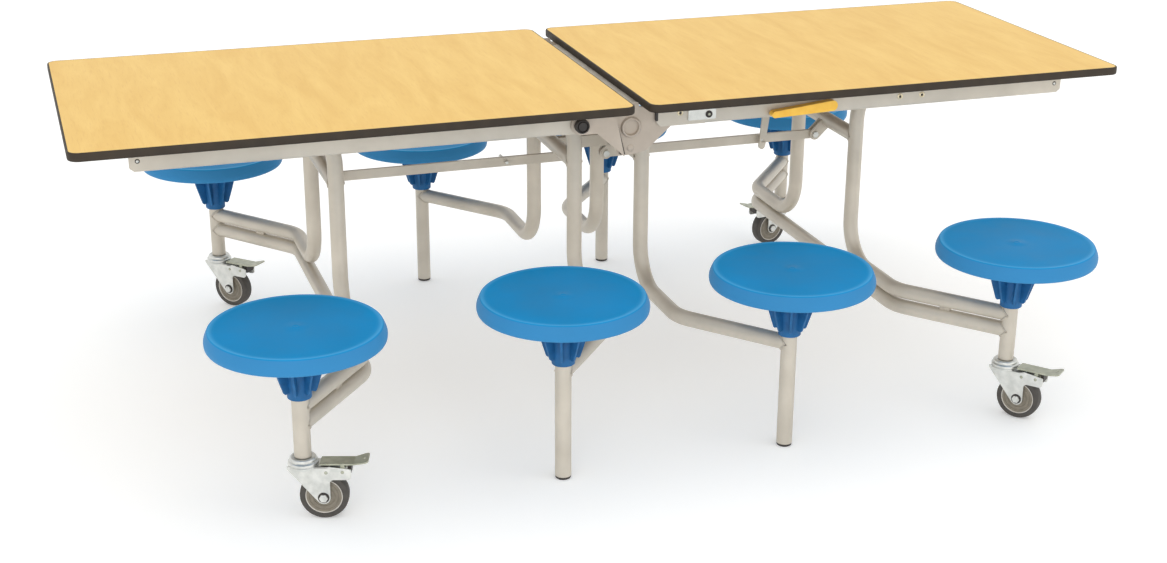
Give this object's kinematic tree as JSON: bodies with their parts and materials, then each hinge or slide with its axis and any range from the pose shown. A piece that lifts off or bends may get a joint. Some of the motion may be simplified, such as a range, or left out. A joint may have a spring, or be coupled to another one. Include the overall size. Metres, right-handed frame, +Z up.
{
  "type": "folding canteen table with stools",
  "caption": "Mobile table in two leaves that fold down about a centre frame, with round fixed stools on bent tube arms and braked swivel casters under the outer frames.",
  "frame": {"origin": "on the floor under the middle of the open table", "axes": "+X along the table, +Y from the front to the rear, +Z up"},
  "size_m": [2.392, 1.608, 0.735],
  "materials": {
    "maple_laminate": "satin pale wood laminate",
    "edge_moulding": "dark moulded edge",
    "painted_steel": "silver-grey paint",
    "seat_plastic": "satin blue moulding",
    "zinc_steel": "bright zinc plate",
    "grey_rubber": "matt grey tyre on a grey core",
    "yellow_plastic": "yellow grip",
    "black_plastic": "matt black"
  },
  "bodies": {
    "centre_frame": {"link_carrier": "painted_steel", "left_inner_pivot_tube": "painted_steel", "right_inner_pivot_tube": "painted_steel", "left_pivot_cap": "black_plastic", "left_front_hinge_plate": "painted_steel", "left_front_inner_leg": "painted_steel", "left_front_inner_seat": "seat_plastic", "left_front_glide": "black_plastic", "left_rear_hinge_plate": "painted_steel", "left_rear_inner_leg": "painted_steel", "left_rear_inner_seat": "seat_plastic", "left_rear_glide": "black_plastic", "right_front_hinge_plate": "painted_steel", "right_front_inner_leg": "painted_steel", "right_front_inner_seat": "seat_plastic", "right_front_glide": "black_plastic", "right_rear_hinge_plate": "painted_steel", "right_rear_inner_leg": "painted_steel", "right_rear_inner_seat": "seat_plastic", "right_rear_glide": "black_plastic"},
    "left_top": {"left_board": "maple_laminate", "left_edge_band": "edge_moulding", "left_front_rail": "painted_steel", "left_rear_rail": "painted_steel"},
    "left_caster_frame": {"left_outer_pivot_tube": "painted_steel", "left_outer_cross_tube": "painted_steel", "left_stretcher": "painted_steel", "left_front_outer_leg": "painted_steel", "left_front_outer_seat": "seat_plastic", "left_rear_outer_leg": "painted_steel", "left_rear_outer_seat": "seat_plastic"},
    "left_link_bar": {"left_link": "painted_steel"},
    "right_top": {"right_board": "maple_laminate", "right_edge_band": "edge_moulding", "right_front_rail": "painted_steel", "right_rear_rail": "painted_steel", "lock_plate": "zinc_steel", "latch_bracket": "painted_steel"},
    "right_caster_frame": {"right_outer_pivot_tube": "painted_steel", "right_outer_cross_tube": "painted_steel", "right_stretcher": "painted_steel", "right_front_outer_leg": "painted_steel", "right_front_outer_seat": "seat_plastic", "right_rear_outer_leg": "painted_steel", "right_rear_outer_seat": "seat_plastic"},
    "right_link_bar": {"right_link": "painted_steel"},
    "latch": {"latch_hook": "painted_steel", "latch_handle": "yellow_plastic"},
    "left_front_caster": {"left_front_caster_fork": "zinc_steel"},
    "left_front_wheel": {"left_front_caster_wheel": "grey_rubber"},
    "left_front_pedal": {"left_front_brake_pedal": "zinc_steel"},
    "left_rear_caster": {"left_rear_caster_fork": "zinc_steel"},
    "left_rear_wheel": {"left_rear_caster_wheel": "grey_rubber"},
    "left_rear_pedal": {"left_rear_brake_pedal": "zinc_steel"},
    "right_front_caster": {"right_front_caster_fork": "zinc_steel"},
    "right_front_wheel": {"right_front_caster_wheel": "grey_rubber"},
    "right_front_pedal": {"right_front_brake_pedal": "zinc_steel"},
    "right_rear_caster": {"right_rear_caster_fork": "zinc_steel"},
    "right_rear_wheel": {"right_rear_caster_wheel": "grey_rubber"},
    "right_rear_pedal": {"right_rear_brake_pedal": "zinc_steel"}
  },
  "joints": [
    {"name": "left_top_fold", "type": "hinge", "parent": "left_caster_frame", "child": "left_top", "pos_m": [-0.675, 0, 0.688], "axis": [0, -1, 0], "range_deg": [0, 86]},
    {"name": "centre_frame_fold", "type": "hinge", "parent": "left_top", "child": "centre_frame", "pos_m": [-0.125, 0, 0.688], "axis": [0, 1, 0], "range_deg": [0, 86]},
    {"name": "right_top_fold", "type": "hinge", "parent": "centre_frame", "child": "right_top", "pos_m": [0.125, 0, 0.688], "axis": [0, 1, 0], "range_deg": [0, 86]},
    {"name": "right_caster_frame_fold", "type": "hinge", "parent": "right_top", "child": "right_caster_frame", "pos_m": [0.675, 0, 0.688], "axis": [0, -1, 0], "range_deg": [0, 86]},
    {"name": "left_link_fold", "type": "hinge", "parent": "centre_frame", "child": "left_link_bar", "pos_m": [-0.047, 0, 0.516], "axis": [0, -1, 0], "range_deg": [0, 86]},
    {"name": "right_link_fold", "type": "hinge", "parent": "centre_frame", "child": "right_link_bar", "pos_m": [0.047, 0, 0.516], "axis": [0, 1, 0], "range_deg": [0, 86]},
    {"name": "latch_turn", "type": "hinge", "parent": "right_top", "child": "latch", "pos_m": [0.47, -0.2, 0.688], "axis": [0, 1, 0], "range_deg": [0, 6], "stiffness_Nm_per_rad": 0.8, "springref_deg": -5.73},
    {"name": "left_front_swivel", "type": "hinge", "parent": "left_caster_frame", "child": "left_front_caster", "pos_m": [-0.808, -0.625, 0.15], "axis": [0, 0, 1], "continuous": true},
    {"name": "left_front_wheel_spin", "type": "hinge", "parent": "left_front_caster", "child": "left_front_wheel", "pos_m": [-0.76996, -0.63736, 0.05], "axis": [0.309, 0.9511, 0], "continuous": true},
    {"name": "left_front_brake", "type": "hinge", "parent": "left_front_caster", "child": "left_front_pedal", "pos_m": [-0.73191, -0.64972, 0.107], "axis": [0.309, 0.9511, 0], "range_deg": [0, 10], "stiffness_Nm_per_rad": 0.6, "springref_deg": -5.73},
    {"name": "left_rear_swivel", "type": "hinge", "parent": "left_caster_frame", "child": "left_rear_caster", "pos_m": [-0.808, 0.625, 0.15], "axis": [0, 0, 1], "continuous": true},
    {"name": "left_rear_wheel_spin", "type": "hinge", "parent": "left_rear_caster", "child": "left_rear_wheel", "pos_m": [-0.77972, 0.59672, 0.05], "axis": [0.7071, 0.7071, 0], "continuous": true},
    {"name": "left_rear_brake", "type": "hinge", "parent": "left_rear_caster", "child": "left_rear_pedal", "pos_m": [-0.75143, 0.56843, 0.107], "axis": [0.7071, 0.7071, 0], "range_deg": [0, 10], "stiffness_Nm_per_rad": 0.6, "springref_deg": -5.73},
    {"name": "right_front_swivel", "type": "hinge", "parent": "right_caster_frame", "child": "right_front_caster", "pos_m": [0.808, -0.625, 0.15], "axis": [0, 0, 1], "continuous": true},
    {"name": "right_front_wheel_spin", "type": "hinge", "parent": "right_front_caster", "child": "right_front_wheel", "pos_m": [0.83317, -0.65609, 0.05], "axis": [0.7771, 0.6293, 0], "continuous": true},
    {"name": "right_front_brake", "type": "hinge", "parent": "right_front_caster", "child": "right_front_pedal", "pos_m": [0.85835, -0.68717, 0.107], "axis": [0.7771, 0.6293, 0], "range_deg": [0, 10], "stiffness_Nm_per_rad": 0.6, "springref_deg": -5.73},
    {"name": "right_rear_swivel", "type": "hinge", "parent": "right_caster_frame", "child": "right_rear_caster", "pos_m": [0.808, 0.625, 0.15], "axis": [0, 0, 1], "continuous": true},
    {"name": "right_rear_wheel_spin", "type": "hinge", "parent": "right_rear_caster", "child": "right_rear_wheel", "pos_m": [0.76902, 0.616, 0.05], "axis": [0.225, -0.9744, 0], "continuous": true},
    {"name": "right_rear_brake", "type": "hinge", "parent": "right_rear_caster", "child": "right_rear_pedal", "pos_m": [0.73005, 0.607, 0.107], "axis": [0.225, -0.9744, 0], "range_deg": [0, 10], "stiffness_Nm_per_rad": 0.6, "springref_deg": -5.73}
  ],
  "couplings": [
    {"joint": "centre_frame_fold", "follows": "left_top_fold", "ratio": 1},
    {"joint": "right_top_fold", "follows": "left_top_fold", "ratio": 1},
    {"joint": "right_caster_frame_fold", "follows": "left_top_fold", "ratio": 1},
    {"joint": "left_link_fold", "follows": "left_top_fold", "ratio": 1},
    {"joint": "right_link_fold", "follows": "left_top_fold", "ratio": 1}
  ]
}
